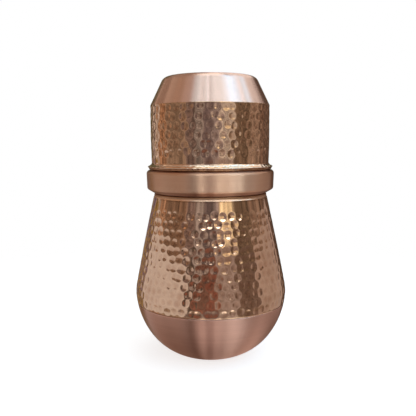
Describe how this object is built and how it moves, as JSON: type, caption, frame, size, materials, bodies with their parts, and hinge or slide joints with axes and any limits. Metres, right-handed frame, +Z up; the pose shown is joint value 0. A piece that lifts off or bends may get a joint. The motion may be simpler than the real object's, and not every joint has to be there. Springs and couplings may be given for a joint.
{
  "type": "lota water pot",
  "caption": "Copper water pot with a round satin bowl, a tapering hammered body and a collared neck, closed by its own upside-down drinking tumbler as a lift-off lid.",
  "frame": {"origin": "centre of the pot's foot, on the plane it stands on", "axes": "+Z up along the axis of revolution, from the foot to the tumbler's base; X and Y are any two directions square to it, as the object is round"},
  "size_m": [0.118, 0.118, 0.216],
  "materials": {
    "satin_copper": "copper with a fine circumferential satin brushing",
    "hammered_copper": "polished copper covered in round hammer dimples",
    "plain_copper": "smooth spun copper",
    "copper_wire": "drawn copper wire",
    "brazing_alloy": "dull yellowish brazing alloy"
  },
  "bodies": {
    "pot": {"pot_bowl": "satin_copper", "pot_body": "hammered_copper", "neck_tube": "plain_copper", "neck_rim_wire": "copper_wire", "collar_band": "satin_copper", "belly_braze": "brazing_alloy", "neck_braze": "brazing_alloy", "collar_top_braze": "brazing_alloy"},
    "tumbler": {"tumbler_cup": "hammered_copper", "tumbler_rim_wire": "copper_wire"}
  },
  "joints": [
    {"name": "tumbler_lift", "type": "slide", "parent": "pot", "child": "tumbler", "axis": [0, 0, 1], "range_m": [0, 0.08]}
  ]
}
